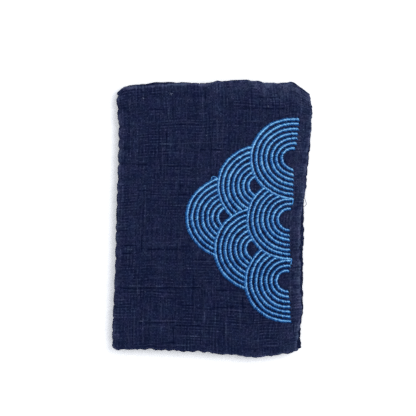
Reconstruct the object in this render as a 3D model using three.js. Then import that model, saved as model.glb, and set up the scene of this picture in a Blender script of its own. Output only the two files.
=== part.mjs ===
// Folded tea towel in slub cotton gauze, lying flat.
// One rectangular cloth, hemmed all round, is folded in half across its width
// (the crease is the far long edge, +Y), then in half twice along its length.
// The doubled cloth so makes four passes, one above the other, that turn round
// two nested folds at the left (-X) and one crease at the right (+X). The two
// hemmed ends lie at the right: one on top, the other just under it.
// Millimetres, +Z up. Origin: middle of the outline, on the surface it lies on.
import * as THREE from "three";

// ---- driving sizes ---------------------------------------------------------
const SHEET = 1.2; // loft of one layer of gauze
const GAP = 0.4; // air between two layers
const PITCH = SHEET + GAP; // from one layer to the next
const PASSES = 4; // passes of the doubled cloth
const PASS_RISE = 2 * PITCH; // a pass is two layers
const STACK = 2 * PASSES * SHEET + (2 * PASSES - 1) * GAP; // height of the pile
const STACK_R = STACK / 2; // outside radius of the fat fold at the left
const FACE_O = PITCH / 2 + SHEET / 2; // right side of the cloth, from the pass's middle
const BACK_O = PITCH / 2 - SHEET / 2; // wrong side of the cloth, inside the doubling

// ---- how finely the sheet is cut into facets -------------------------------
const PASS_STEPS = 11; // along one pass
const FOLD_STEPS = { wide: 8, tight: 5 }; // round a fold of the passes
const LAYER_STEPS = 12; // along one layer, from open edge to crease
const CREASE_STEPS = 5; // round the crease that doubles the cloth

// ---- the outline, one row for each place where an edge changes course ------
const LEFT_EDGE = [
  { y: 124, x: -88.6 },
  { y: 113, x: -88.8 },
  { y: 88, x: -87.2 },
  { y: 54, x: -87.7 },
  { y: 24, x: -88.8 },
  { y: -6, x: -89.7 },
  { y: -43, x: -90.4 },
  { y: -76, x: -91.8 },
  { y: -104, x: -93.1 },
  { y: -120, x: -93.0 },
];
// hemmed end on top, and what looks out from under it
const RIGHT_EDGE = [
  { y: 124, top: 91.1, under: 88.0 },
  { y: 108, top: 93.3, under: 90.4 },
  { y: 92, top: 92.6, under: 91.6 },
  { y: 76, top: 91.3, under: 91.7 },
  { y: 60, top: 89.0, under: 90.4 },
  { y: 40, top: 87.0, under: 88.1 },
  { y: 16, top: 85.1, under: 85.3 },
  { y: 3, top: 82.8, under: 85.0 },
  { y: -16, top: 82.0, under: 85.4 },
  { y: -34, top: 81.4, under: 84.3 },
  { y: -46, top: 81.6, under: 84.8 },
  { y: -67, top: 82.1, under: 84.2 },
  { y: -78, top: 82.7, under: 84.8 },
  { y: -90, top: 82.9, under: 84.3 },
  { y: -104, top: 80.2, under: 82.2 },
  { y: -120, top: 79.4, under: 82.7 },
];
// creased long edge
const FAR_EDGE = [
  { x: -90, top: 122.0, under: 122.3 },
  { x: -73, top: 123.4, under: 124.8 },
  { x: -54, top: 125.0, under: 126.9 },
  { x: -27, top: 126.6, under: 127.4 },
  { x: -12, top: 125.5, under: 125.2 },
  { x: 5, top: 127.8, under: 126.0 },
  { x: 26, top: 128.9, under: 127.4 },
  { x: 47, top: 127.0, under: 126.0 },
  { x: 64, top: 126.0, under: 124.9 },
  { x: 75, top: 128.0, under: 125.0 },
  { x: 92, top: 127.0, under: 123.5 },
];
// open long edge, with the two side hems
const NEAR_EDGE = [
  { x: -93, top: -122.7, under: -119.4 },
  { x: -67, top: -121.9, under: -119.7 },
  { x: -57, top: -121.2, under: -119.8 },
  { x: -44, top: -122.7, under: -120.3 },
  { x: -20, top: -123.7, under: -121.3 },
  { x: 0, top: -124.9, under: -122.6 },
  { x: 18, top: -127.1, under: -124.6 },
  { x: 38, top: -129.0, under: -126.6 },
  { x: 50, top: -127.6, under: -126.1 },
  { x: 62, top: -126.9, under: -125.4 },
  { x: 84, top: -124.0, under: -125.2 },
];
// the corners are rubbed round: cut back by so much where the edge ends
const CORNERS = [
  { edge: "far", from: 74.1, to: 89.4, cut: 10.6, reach: 48, bend: 1.05 },
  { edge: "far", from: -78, to: -88, cut: 3.1, reach: 22, bend: 1.4 },
  { edge: "near", from: 71, to: 83, cut: 3.8, reach: 28, bend: 1.4 },
  { edge: "near", from: -88, to: -93, cut: 1.4, reach: 12, bend: 1.4 },
];
// soft rises and dips of the pile, as a share of its height
const LOFT = [
  { x: 90, y: 116, spread: 26, gain: -0.13 },
  { x: 78, y: -120, spread: 20, gain: -0.07 },
  { x: -86, y: 120, spread: 18, gain: -0.07 },
  { x: 20, y: 122, spread: 34, gain: -0.04 },
  { x: -20, y: -20, spread: 70, gain: 0.03 },
  { x: -70, y: 70, spread: 30, gain: 0.02 },
  { x: 40, y: -128, spread: 26, gain: -0.04 },
];
// the four passes from the bottom up, how far each stands back from the outline
const PASS = [
  { name: "first", edge: "under", far: 0.9, nearA: 0.2, nearB: 2.0, right: 1.9 },
  { name: "second", edge: "under", far: 0.0, nearA: 2.4, nearB: 0.9, right: 1.9 },
  { name: "third", edge: "under", far: 0.5, nearA: 0.3, nearB: 1.6, right: 0.0 },
  { name: "fourth", edge: "top", far: 0.0, nearA: 0.0, nearB: 2.2, right: 0.0 },
];
// the doubled cloth followed from its lower hemmed end to the one on top
const ROUTE = [
  { run: "pass", on: 2, towards: "left" },
  { run: "fold", side: "left", from: 2, to: 1, turn: "tight" },
  { run: "pass", on: 1, towards: "right" },
  { run: "fold", side: "right", from: 1, to: 0, turn: "tight" },
  { run: "pass", on: 0, towards: "left" },
  { run: "fold", side: "left", from: 0, to: 3, turn: "wide" },
  { run: "pass", on: 3, towards: "right" },
];

// ---- helpers ---------------------------------------------------------------
const mix = (a, b, f) => a + (b - a) * f;
const ease = (f) => f * f * (3 - 2 * f);
const clamp = (f) => Math.min(1, Math.max(0, f));

// Smooth value of one column of a table at a place along it.
function along(table, by, column, at) {
  const up = table[0][by] < table[table.length - 1][by];
  const rows = up ? table : [...table].reverse();
  const last = rows.length - 1;
  if (at <= rows[0][by]) return rows[0][column];
  if (at >= rows[last][by]) return rows[last][column];
  let i = 0;
  while (rows[i + 1][by] < at) i++;
  const row = (k) => rows[Math.min(last, Math.max(0, k))];
  const slope = (k) =>
    (row(k + 1)[column] - row(k - 1)[column]) / (row(k + 1)[by] - row(k - 1)[by]);
  const span = rows[i + 1][by] - rows[i][by];
  const f = (at - rows[i][by]) / span;
  const f2 = f * f;
  const f3 = f2 * f;
  return (
    (2 * f3 - 3 * f2 + 1) * rows[i][column] +
    (f3 - 2 * f2 + f) * span * slope(i) +
    (3 * f2 - 2 * f3) * rows[i + 1][column] +
    (f3 - f2) * span * slope(i + 1)
  );
}

const passZ = (k) => STACK_R + (k - (PASSES - 1) / 2) * PASS_RISE;

function cornerCut(edge, x, fromEdge) {
  let cut = 0;
  for (const c of CORNERS) {
    if (c.edge !== edge) continue;
    const f = Math.max(0, (x - c.from) / (c.to - c.from));
    const fade = clamp(1 - fromEdge / c.reach);
    cut += c.cut * Math.min(f, 1.2) ** c.bend * fade * fade;
  }
  return cut;
}

function loft(x, y) {
  let f = 1;
  for (const l of LOFT) {
    const d2 = ((x - l.x) ** 2 + (y - l.y) ** 2) / l.spread ** 2;
    f += l.gain * Math.exp(-d2);
  }
  return f;
}

// ---- stations along the route: where the pass's middle line is, and which way
// the right side of the cloth looks ------------------------------------------
const stations = [];
for (const leg of ROUTE) {
  if (leg.run === "pass") {
    const z = passZ(leg.on);
    const up = leg.towards === "right" ? 1 : -1;
    for (let i = 0; i <= PASS_STEPS; i++) {
      const f = i / PASS_STEPS;
      // closer together at the right, where the corners are rounded
      const u = leg.towards === "right" ? f : 1 - f;
      const share = mix(u, Math.sin((u * Math.PI) / 2), 0.75);
      stations.push({ share, bulge: 0, z, out: [0, up], a: leg.on, b: leg.on, f: 0 });
    }
  } else {
    const steps = FOLD_STEPS[leg.turn];
    const z0 = passZ(leg.from);
    const z1 = passZ(leg.to);
    const r = Math.abs(z1 - z0) / 2;
    const left = leg.side === "left";
    // the inner fold has the right side of the cloth inside, the others outside
    const facing = leg.turn === "tight" && left ? -1 : 1;
    for (let i = 1; i < steps; i++) {
      const turn = (Math.PI * i) / steps;
      const sx = (left ? -1 : 1) * Math.sin(turn);
      const sz = Math.sign(z0 - z1) * Math.cos(turn);
      stations.push({
        share: left ? 0 : 1,
        bulge: r * sx,
        z: (z0 + z1) / 2 + r * sz,
        out: [facing * sx, facing * sz],
        a: leg.from,
        b: leg.to,
        f: ease(i / steps),
      });
    }
  }
}

// ---- stations across the cloth: layer A, the doubling crease, layer B --------
const across = [];
for (let i = 0; i <= LAYER_STEPS; i++) {
  const v = i / LAYER_STEPS;
  across.push({ v: mix(v, Math.sin((v * Math.PI) / 2), 0.45), lift: 1, round: 0, layer: 0 });
}
for (let i = 1; i < CREASE_STEPS; i++) {
  const turn = (Math.PI * i) / CREASE_STEPS;
  across.push({ v: 1, lift: Math.cos(turn), round: Math.sin(turn), layer: i / CREASE_STEPS });
}
for (let i = LAYER_STEPS; i >= 0; i--)
  across.push({ ...across[i], lift: -1, layer: 1 });

// A point of the cloth: on its right side (skin = FACE_O) or wrong side (BACK_O).
function point(s, t, skin) {
  const edgeOf = (table, by, at, k) => along(table, by, PASS[k].edge, at);
  const both = (value) => mix(value(s.a), value(s.b), s.f);
  const o = skin * t.lift;
  const yPlain = mix(-124, 126, t.v);
  const left = along(LEFT_EDGE, "y", "x", yPlain) + STACK_R;
  const crease = PASS_RISE / 2 + FACE_O; // room that the crease at the right takes
  const right = both(
    (k) =>
      edgeOf(RIGHT_EDGE, "y", yPlain, k) - PASS[k].right - (k < 2 ? crease : 0),
  );
  const x = mix(left, right, s.share) + s.bulge + s.out[0] * o;
  const far =
    both((k) => edgeOf(FAR_EDGE, "x", x, k) - PASS[k].far) - FACE_O;
  const near = both(
    (k) =>
      edgeOf(NEAR_EDGE, "x", x, k) + mix(PASS[k].nearA, PASS[k].nearB, t.layer),
  );
  let y = mix(near, far, t.v);
  y += cornerCut("near", x, y - near) - cornerCut("far", x, far - y);
  y += skin * t.round;
  const z = (s.z + s.out[1] * o) * loft(x, y);
  return [x, y, z];
}

// ---- one closed sheet: both skins, joined along the four edges of the cloth --
function towelSheet() {
  const rows = stations.length;
  const columns = across.length;
  const positions = [];
  for (const skin of [FACE_O, BACK_O])
    for (const s of stations)
      for (const t of across) positions.push(...point(s, t, skin));
  const face = (i, j) => i * columns + j;
  const back = (i, j) => rows * columns + i * columns + j;
  const index = [];
  const quad = (a, b, c, d) => index.push(a, b, c, a, c, d);
  for (let i = 0; i + 1 < rows; i++)
    for (let j = 0; j + 1 < columns; j++) {
      quad(face(i, j), face(i + 1, j), face(i + 1, j + 1), face(i, j + 1));
      quad(back(i, j), back(i, j + 1), back(i + 1, j + 1), back(i + 1, j));
    }
  for (let j = 0; j + 1 < columns; j++) {
    // the two hemmed ends
    quad(face(0, j), face(0, j + 1), back(0, j + 1), back(0, j));
    const e = rows - 1;
    quad(face(e, j + 1), face(e, j), back(e, j), back(e, j + 1));
  }
  for (let i = 0; i + 1 < rows; i++) {
    // the two side hems
    quad(face(i + 1, 0), face(i, 0), back(i, 0), back(i + 1, 0));
    const e = columns - 1;
    quad(face(i, e), face(i + 1, e), back(i + 1, e), back(i, e));
  }
  const geometry = new THREE.BufferGeometry();
  geometry.setAttribute("position", new THREE.Float32BufferAttribute(positions, 3));
  geometry.setIndex(index);
  geometry.computeBoundingBox();
  // origin at the middle of the outline, on the underside
  const box = geometry.boundingBox;
  geometry.translate(-(box.min.x + box.max.x) / 2, -(box.min.y + box.max.y) / 2, -box.min.z);
  geometry.computeVertexNormals();
  return geometry;
}

const gauze = new THREE.MeshStandardMaterial({
  name: "gauze",
  color: new THREE.Color(0.11, 0.133, 0.243),
  roughness: 0.92,
  metalness: 0,
});

const towel = new THREE.Mesh(towelSheet(), gauze);
towel.name = "towel";

const part = new THREE.Group();
part.name = "folded_tea_towel";
part.add(towel);

export default part;
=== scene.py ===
"""Folded tea towel in slub indigo gauze, with an embroidered border of overlapping wave scales.

The cloth is one sheet on the frame's folds: doubled across its width, then folded in quarters along its
length. All sizes here are millimetres, turned into metres where a mesh is made.
"""

import math

import bpy
import numpy as np
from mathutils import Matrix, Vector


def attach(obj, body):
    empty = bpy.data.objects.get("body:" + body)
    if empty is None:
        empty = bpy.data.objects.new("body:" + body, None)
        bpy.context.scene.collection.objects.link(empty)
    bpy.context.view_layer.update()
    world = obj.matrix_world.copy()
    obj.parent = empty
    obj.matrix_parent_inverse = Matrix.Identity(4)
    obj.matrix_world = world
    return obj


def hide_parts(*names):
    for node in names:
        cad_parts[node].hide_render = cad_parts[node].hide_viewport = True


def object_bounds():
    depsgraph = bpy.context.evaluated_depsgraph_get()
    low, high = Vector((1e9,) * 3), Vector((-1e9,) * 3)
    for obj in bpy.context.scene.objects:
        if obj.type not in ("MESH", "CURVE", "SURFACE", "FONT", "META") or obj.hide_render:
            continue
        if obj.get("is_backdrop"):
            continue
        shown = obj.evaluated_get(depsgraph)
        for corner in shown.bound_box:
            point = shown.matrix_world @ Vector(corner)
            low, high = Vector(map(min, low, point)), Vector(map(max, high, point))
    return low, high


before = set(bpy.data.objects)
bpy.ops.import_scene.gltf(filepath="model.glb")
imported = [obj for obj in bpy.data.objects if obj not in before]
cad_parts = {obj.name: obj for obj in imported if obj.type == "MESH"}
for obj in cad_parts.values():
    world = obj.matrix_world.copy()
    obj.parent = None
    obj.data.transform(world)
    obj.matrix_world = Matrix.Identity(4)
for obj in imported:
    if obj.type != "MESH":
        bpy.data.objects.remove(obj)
CAD_LOW, CAD_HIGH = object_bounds()
MM = 0.001

# ---------------------------------------------------------------------------------------------------
# The folded sheet: the same sizes as the frame
# ---------------------------------------------------------------------------------------------------
SHEET = 1.2
GAP = 0.4
PITCH = SHEET + GAP
PASSES = 4
PASS_RISE = 2 * PITCH
STACK = 2 * PASSES * SHEET + (2 * PASSES - 1) * GAP
STACK_R = STACK / 2
FACE_O = PITCH / 2 + SHEET / 2
BACK_O = PITCH / 2 - SHEET / 2
RIM = 0.5  # how far the rounded edge of the cloth stands out past its two skins

PASS_LENGTH = 168.0  # one pass, from fold to fold
LAYER_LENGTH = 250.0  # one layer, from open edge to crease

LEFT_EDGE = dict(
    y=[-120, -104, -76, -43, -6, 24, 54, 88, 113, 124],
    x=[-93.0, -93.1, -91.8, -90.4, -89.7, -88.8, -87.7, -87.2, -88.8, -88.6],
)
RIGHT_EDGE = dict(
    y=[-120, -104, -90, -78, -67, -46, -34, -16, 3, 16, 40, 60, 76, 92, 108, 124],
    top=[79.4, 80.2, 82.9, 82.7, 82.1, 81.6, 81.4, 82.0, 82.8, 85.1, 87.0, 89.0, 91.3, 92.6, 93.3, 91.1],
    under=[82.7, 82.2, 84.3, 84.8, 84.2, 84.8, 84.3, 85.4, 85.0, 85.3, 88.1, 90.4, 91.7, 91.6, 90.4, 88.0],
)
FAR_EDGE = dict(
    x=[-90, -73, -54, -27, -12, 5, 26, 47, 64, 75, 92],
    top=[122.0, 123.4, 125.0, 126.6, 125.5, 127.8, 128.9, 127.0, 126.0, 128.0, 127.0],
    under=[122.3, 124.8, 126.9, 127.4, 125.2, 126.0, 127.4, 126.0, 124.9, 125.0, 123.5],
)
NEAR_EDGE = dict(
    x=[-93, -67, -57, -44, -20, 0, 18, 38, 50, 62, 84],
    top=[-122.7, -121.9, -121.2, -122.7, -123.7, -124.9, -127.1, -129.0, -127.6, -126.9, -124.0],
    under=[-119.4, -119.7, -119.8, -120.3, -121.3, -122.6, -124.6, -126.6, -126.1, -125.4, -125.2],
)
CORNERS = [
    dict(edge="far", start=74.1, end=89.4, cut=10.6, reach=48, bend=1.05),
    dict(edge="far", start=-78, end=-88, cut=3.1, reach=22),
    dict(edge="near", start=71, end=83, cut=3.8, reach=28),
    dict(edge="near", start=-88, end=-93, cut=1.4, reach=12),
]
LOFT = [
    dict(x=90, y=116, spread=26, gain=-0.13),
    dict(x=78, y=-120, spread=20, gain=-0.07),
    dict(x=-86, y=120, spread=18, gain=-0.07),
    dict(x=20, y=122, spread=34, gain=-0.04),
    dict(x=-20, y=-20, spread=70, gain=0.03),
    dict(x=-70, y=70, spread=30, gain=0.02),
    dict(x=40, y=-128, spread=26, gain=-0.04),
]
PASS = [
    dict(edge="under", far=0.9, nearA=0.2, nearB=2.0, right=1.9),
    dict(edge="under", far=0.0, nearA=2.4, nearB=0.9, right=1.9),
    dict(edge="under", far=0.5, nearA=0.3, nearB=1.6, right=0.0),
    dict(edge="top", far=0.0, nearA=0.0, nearB=2.2, right=0.0),
]
# the doubled cloth from its lower hemmed end to the one on top: steps across the leg, and how many of
# them make one step of the plain, hidden layers
ROUTE = [
    dict(run="pass", on=2, towards="left", steps=40, coarse=1),
    dict(run="fold", side="left", start=2, end=1, turn="tight", steps=10, coarse=1),
    dict(run="pass", on=1, towards="right", steps=40, coarse=1),
    dict(run="fold", side="right", start=1, end=0, turn="tight", steps=12, coarse=1),
    dict(run="pass", on=0, towards="left", steps=40, coarse=1),
    dict(run="fold", side="left", start=0, end=3, turn="wide", steps=24, coarse=2, fine=True),
    dict(run="pass", on=3, towards="right", steps=152, coarse=4, fine=True),
]
LAYER_STEPS = dict(fine=336, plain=112, coarse=6, plain_coarse=2)
HEM_ROWS = dict(first=3, last=5)  # lines next to the two hemmed ends that are fine in both layers
CREASE_STEPS = dict(fine=12, coarse=2)


# ---------------------------------------------------------------------------------------------------
# Small helpers
# ---------------------------------------------------------------------------------------------------
def mix(a, b, f):
    return a + (b - a) * f


def ease(f):
    f = np.clip(f, 0, 1)
    return f * f * (3 - 2 * f)


def along(table, by, column, at):
    """Smooth value of one column of a table at places along it."""
    k = np.asarray(table[by], float)
    v = np.asarray(table[column], float)
    n = len(k)
    up = np.minimum(np.arange(n) + 1, n - 1)
    down = np.maximum(np.arange(n) - 1, 0)
    slope = (v[up] - v[down]) / (k[up] - k[down])
    at = np.clip(np.asarray(at, float), k[0], k[-1])
    i = np.clip(np.searchsorted(k, at, side="right") - 1, 0, n - 2)
    span = k[i + 1] - k[i]
    f = (at - k[i]) / span
    f2, f3 = f * f, f * f * f
    return (
        (2 * f3 - 3 * f2 + 1) * v[i]
        + (f3 - 2 * f2 + f) * span * slope[i]
        + (3 * f2 - 2 * f3) * v[i + 1]
        + (f3 - f2) * span * slope[i + 1]
    )


def hashed(i, j, seed):
    """A repeatable number from -1 to 1 for each cell of a lattice."""
    n = (i.astype(np.int64) * 374761393 + j.astype(np.int64) * 668265263 + int(seed) * 974634777) & 0xFFFFFFFF
    n = ((n ^ (n >> 13)) * 1274126177) & 0xFFFFFFFF
    n = ((n ^ (n >> 15)) * 2246822519) & 0xFFFFFFFF
    n = n ^ (n >> 16)
    return n / 2147483647.5 - 1.0


def noise(x, y, seed=0):
    """Soft value noise from -1 to 1 with cells one unit wide."""
    x, y = np.broadcast_arrays(np.asarray(x, float), np.asarray(y, float))
    i, j = np.floor(x), np.floor(y)
    fx, fy = x - i, y - j
    fx = fx * fx * fx * (fx * (fx * 6 - 15) + 10)
    fy = fy * fy * fy * (fy * (fy * 6 - 15) + 10)
    a = hashed(i, j, seed)
    b = hashed(i + 1, j, seed)
    c = hashed(i, j + 1, seed)
    d = hashed(i + 1, j + 1, seed)
    return mix(mix(a, b, fx), mix(c, d, fx), fy)


def new_mesh(name, verts, faces, uv=None, smooth=True):
    mesh = bpy.data.meshes.new(name)
    mesh.from_pydata((np.asarray(verts) * MM).tolist(), [], faces)
    if smooth:
        mesh.polygons.foreach_set("use_smooth", np.ones(len(mesh.polygons), bool))
    if uv is not None:
        loops = np.empty(len(mesh.loops), np.int32)
        mesh.loops.foreach_get("vertex_index", loops)
        layer = mesh.uv_layers.new(name="cloth")
        layer.data.foreach_set("uv", np.ascontiguousarray(np.asarray(uv, np.float32)[loops]).ravel())
    mesh.update()
    obj = bpy.data.objects.new(name, mesh)
    bpy.context.scene.collection.objects.link(obj)
    return obj


# ---------------------------------------------------------------------------------------------------
# Lines of the sheet: along the route, and across the doubled cloth
# ---------------------------------------------------------------------------------------------------
def pass_z(k):
    return STACK_R + (k - (PASSES - 1) / 2) * PASS_RISE


def route_lines():
    rows, length = [], 0.0
    for n, leg in enumerate(ROUTE):
        steps, fine = leg["steps"], leg.get("fine", False)
        if leg["run"] == "pass":
            right = leg["towards"] == "right"
            for i in range(steps + 1):
                f = i / steps
                rows.append(
                    dict(share=f if right else 1 - f, bulge=0.0, z=pass_z(leg["on"]), ox=0.0, oz=1.0 if right else -1.0,
                         a=leg["on"], b=leg["on"], f=0.0, s=length + f * PASS_LENGTH, leg=n, turn=0.0, turn_at=0.0,
                         coarse=i % leg["coarse"] == 0, fine=fine)
                )
            length += PASS_LENGTH
        else:
            z0, z1 = pass_z(leg["start"]), pass_z(leg["end"])
            r, left = abs(z1 - z0) / 2, leg["side"] == "left"
            facing = -1 if leg["turn"] == "tight" and left else 1
            # a fold's first line is the pass's last: in a fold with fine lines, that pass's last line is one too
            if fine:
                rows[-1]["fine"] = True
            for i in range(1, steps):
                turn = math.pi * i / steps
                sx = (-1 if left else 1) * math.sin(turn)
                sz = math.copysign(1, z0 - z1) * math.cos(turn)
                rows.append(
                    dict(share=0.0 if left else 1.0, bulge=r * sx, z=(z0 + z1) / 2 + r * sz, ox=facing * sx, oz=facing * sz,
                         a=leg["start"], b=leg["end"], f=float(ease(i / steps)), s=length + math.pi * r * i / steps,
                         leg=n, turn=math.sin(turn), turn_at=i / steps, coarse=i % leg["coarse"] == 0, fine=fine)
                )
            length += math.pi * r
    return {k: np.array([r[k] for r in rows]) for k in rows[0]}


def cross_lines():
    rows = []
    n = LAYER_STEPS["fine"]
    for i in range(n + 1):
        rows.append(dict(v=i / n, lift=1.0, round=0.0, layer=0.0, t=i / n * LAYER_LENGTH,
                         coarse=i % LAYER_STEPS["coarse"] == 0, fine=True))
    n, t0 = CREASE_STEPS["fine"], LAYER_LENGTH
    arc = math.pi * PITCH / 2
    for i in range(1, n):
        turn = math.pi * i / n
        rows.append(dict(v=1.0, lift=math.cos(turn), round=math.sin(turn), layer=i / n, t=t0 + arc * i / n,
                         coarse=i % CREASE_STEPS["coarse"] == 0, fine=True))
    n, t0 = LAYER_STEPS["plain"], LAYER_LENGTH + arc
    for i in range(n + 1):
        rows.append(dict(v=1 - i / n, lift=-1.0, round=0.0, layer=1.0, t=t0 + i / n * LAYER_LENGTH,
                         coarse=i % LAYER_STEPS["plain_coarse"] == 0, fine=i == 0))
    return {k: np.array([r[k] for r in rows]) for k in rows[0]}


def corner_cut(edge, x, from_edge):
    cut = np.zeros(np.broadcast(x, from_edge).shape)
    for c in CORNERS:
        if c["edge"] != edge:
            continue
        f = np.clip((x - c["start"]) / (c["end"] - c["start"]), 0, 1.2)
        fade = np.clip(1 - from_edge / c["reach"], 0, 1)
        cut = cut + c["cut"] * f ** c.get("bend", 1.4) * fade * fade
    return cut


def loft(x, y):
    f = np.ones(np.broadcast(x, y).shape)
    for g in LOFT:
        f = f + g["gain"] * np.exp(-((x - g["x"]) ** 2 + (y - g["y"]) ** 2) / g["spread"] ** 2)
    # the hemmed ends hang down a little over what lies under them
    beyond = along(RIGHT_EDGE, "y", "top", y) - x
    f = f - 0.085 * np.exp(-np.maximum(beyond, 0) / 2.6) - 0.03 * np.exp(-np.maximum(beyond, 0) / 9.0)
    # soft unevenness of the pile, the same for every layer of it
    return f + 0.022 * noise(x / 44 + 3.1, y / 52, 11) + 0.016 * noise(x / 21, y / 17, 12)


# Where the fat fold at the left is drawn in by the crinkled cloth: gathers at uneven steps along it
def gathers(y):
    """0 in a notch of the left fold, 1 on the swell between two notches."""
    phase = y / 13.4 + 0.4 * noise(y / 17.0, 0.5, 21) + 0.3 * noise(y / 43.0, 4.5, 22)
    small = np.abs(np.sin(math.pi * (y / 5.3 + 0.4 * noise(y / 9.0, 2.5, 24))))
    return 0.8 * np.abs(np.sin(math.pi * phase)) ** 0.7 + 0.2 * small


def gather_depth(y):
    return 1.25 + 0.55 * ease((y - 10) / 40) * (1 - 0.35 * ease((y - 112) / 12)) + 0.25 * noise(y / 31, 1.5, 23)


def surface(st, ac, skin):
    """Points of the cloth, lines of the route by lines across, on its right (FACE_O) or wrong (BACK_O) side."""
    c = lambda k: st[k][:, None]
    r = lambda k: ac[k][None, :]
    o = skin * r("lift")
    y_plain = mix(-124, 126, r("v"))

    def both(values):  # one array for each pass, mixed where the cloth turns from one to the next
        stack = np.stack([np.broadcast_to(v, (len(st["s"]), len(ac["t"]))) for v in values])
        rows = np.arange(len(st["s"]))
        return mix(stack[st["a"], rows], stack[st["b"], rows], c("f"))

    crease = PASS_RISE / 2 + FACE_O
    left = along(LEFT_EDGE, "y", "x", y_plain) + STACK_R
    right = both(
        [along(RIGHT_EDGE, "y", PASS[k]["edge"], y_plain) - PASS[k]["right"] - (crease if k < 2 else RIM) for k in range(4)]
    )
    # crinkled outer fold
    swell = np.where(c("leg") == 5, gather_depth(y_plain) * (gathers(y_plain) - 0.62), 0.0) * c("turn")
    x = mix(left, right, c("share")) + c("bulge") + c("ox") * (o + swell)
    # uneven hemmed ends
    pull = 0.75 * noise(y_plain / 4.6, st["a"][:, None] * 3.7, 31) + 0.5 * noise(y_plain / 2.3, st["a"][:, None] * 5.1, 32)
    end = np.where((c("leg") == 6) | (c("leg") == 0), np.exp(-(1 - c("share")) * PASS_LENGTH / 3.0), 0.0)
    x = x + pull * end
    edges = {e: along(FAR_EDGE, "x", e, x) for e in ("top", "under")}
    far = both([edges[PASS[k]["edge"]] - PASS[k]["far"] for k in range(4)]) - FACE_O
    edges = {e: along(NEAR_EDGE, "x", e, x) for e in ("top", "under")}
    near = both(
        [edges[PASS[k]["edge"]] + mix(PASS[k]["nearA"], PASS[k]["nearB"], r("layer")) for k in range(4)]
    ) + RIM
    y = mix(near, far, r("v"))
    from_near, from_far = y - near, far - y
    y = y + corner_cut("near", x, from_near) - corner_cut("far", x, from_far)
    y = y + skin * r("round")
    # uneven open edge and crease
    which = st["a"][:, None] * 2.3 + r("layer") * 7.7
    pull = 0.75 * noise(x / 4.4, which, 33) + 0.45 * noise(x / 2.4, which, 34)
    y = y + pull * np.exp(-from_near / 3.0) * (1 - 0.6 * (c("leg") == 5))
    pull = 0.55 * noise(x / 5.5, which * 0 + c("a") * 2.3, 35) + 0.42 * noise(x / 2.4, which * 0 + c("a") * 3.1, 37)
    y = y + pull * np.exp(-np.maximum(from_far, 0) / 3.0)
    z = (c("z") + c("oz") * (o + swell)) * loft(x, y)
    return np.stack([x, y, z], -1)


def unit(v):
    return v / np.maximum(np.linalg.norm(v, axis=-1, keepdims=True), 1e-9)


def normals(p):
    return unit(np.cross(np.gradient(p, axis=0), np.gradient(p, axis=1)))


# ---------------------------------------------------------------------------------------------------
# Embroidery layout, seen from above
# ---------------------------------------------------------------------------------------------------
MOTIF = dict(
    inner=9.8,  # innermost line
    outer=37.3,  # outermost line
    lines=7,
    width=3.6,
)
# from the front scale to the one that is most covered: its centre, how far its outermost line reaches to the left of
# it and up and down, and how far its lines flare out at their upper and lower ends: the cloth gives, so no two are
# quite alike
SCALES = [
    dict(x=75.2, y=55.8, wide=38.8, tall=36.5, flare=(0.0, 1.0)),
    dict(x=71.1, y=-0.9, wide=37.9, tall=36.5, flare=(0.3, 0.2)),
    dict(x=69.6, y=-58.1, wide=37.8, tall=37.1, flare=(0.0, 0.2)),
    dict(x=41.3, y=-28.3, wide=38.0, tall=37.2, flare=(0.0, 1.2)),
    dict(x=44.2, y=30.2, wide=38.4, tall=36.7, flare=(0.0, 0.6)),
    dict(x=15.4, y=1.0, wide=38.3, tall=36.1, flare=(3.2, 2.2)),
]
# where the lines of the front row end, beside the hem
BASE_LINE = dict(
    y=[-96, -91, -77, -72, -68, -48, -44, -39, -33, -20, -11, 9, 13, 18, 23, 37, 46, 65, 70, 79, 93],
    x=[73.7, 72.7, 72.4, 71.1, 70.7, 71.7, 72.6, 73.5, 72.4, 71.9, 71.6, 73.4, 74.0, 75.2, 74.2, 74.6, 74.1, 77.0, 78.3, 79.7, 81.0],
)


def reach_of(k, x, y):
    """Distance from a scale's centre line, as if it were round: its lines are where this is a line's radius."""
    q = SCALES[k]
    return MOTIF["outer"] * np.hypot(np.minimum(x - q["x"], 0) / q["wide"], (y - q["y"]) / q["tall"])


RADII = np.linspace(MOTIF["inner"], MOTIF["outer"], MOTIF["lines"])


def front_scale(x, y):
    """The scale that shows at each place, or -1."""
    shown = np.full(np.broadcast(x, y).shape, -1)
    worked = x < along(BASE_LINE, "y", "x", y) + 0.4
    for k in reversed(range(len(SCALES))):
        shown = np.where(worked & (reach_of(k, x, y) < MOTIF["outer"] + 0.5 * MOTIF["width"]), k, shown)
    return shown


def line_distance(x, y):
    """Distance to the nearest embroidered line that shows."""
    shown = front_scale(x, y)
    best = np.full(shown.shape, 99.0)
    for k in range(len(SCALES)):
        reach = reach_of(k, x, y)
        near = np.abs(reach[..., None] - RADII).min(-1)
        best = np.where(shown == k, near, best)
    return best


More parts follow.
